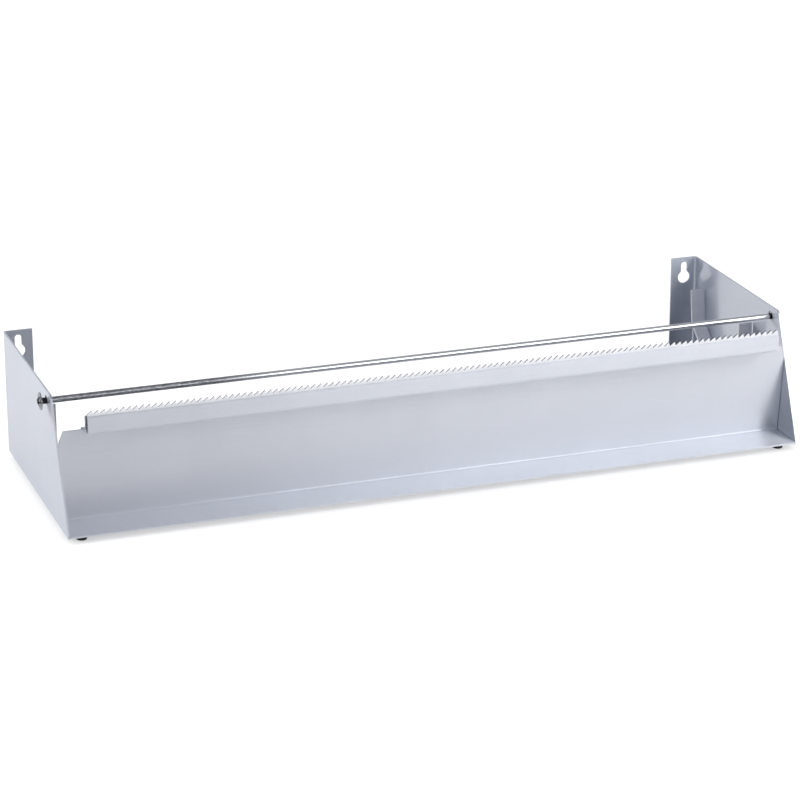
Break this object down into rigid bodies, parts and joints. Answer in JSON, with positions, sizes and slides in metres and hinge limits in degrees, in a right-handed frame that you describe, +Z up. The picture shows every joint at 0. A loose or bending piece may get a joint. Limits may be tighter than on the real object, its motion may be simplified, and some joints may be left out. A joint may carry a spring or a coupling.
{
  "type": "cling film dispenser",
  "caption": "Folded stainless steel dispenser for cling film on a roll, with a serrated cutting edge, a spinning guide rod and keyholes for hanging on a wall.",
  "frame": {"origin": "middle of the footprint, on the surface that the feet stand on", "axes": "+X to the right along the width, -Y is the front with the cutting edge, +Z up"},
  "size_m": [0.5112, 0.167, 0.0872],
  "materials": {
    "plate_steel": "satin",
    "front_sheet_steel": "satin",
    "trough_steel": "satin",
    "blade_steel": "satin, stamped teeth",
    "angle_steel": "satin",
    "rod_steel": "drawn and polished",
    "washer_steel": "spring steel",
    "foot_rubber": "matt"
  },
  "bodies": {
    "housing": {"left_end_plate": "plate_steel", "right_end_plate": "plate_steel", "front_sheet": "front_sheet_steel", "roll_trough": "trough_steel", "serrated_blade": "blade_steel", "blade_angle": "angle_steel", "foot_front_left": "foot_rubber", "foot_front_right": "foot_rubber", "foot_rear_left": "foot_rubber", "foot_rear_right": "foot_rubber"},
    "guide_rod_set": {"guide_rod": "rod_steel", "rod_washer_left": "washer_steel", "rod_washer_right": "washer_steel"}
  },
  "joints": [
    {"name": "guide_rod_spin", "type": "hinge", "parent": "housing", "child": "guide_rod_set", "pos_m": [0, -0.0378, 0.0801], "axis": [1, 0, 0], "continuous": true}
  ]
}
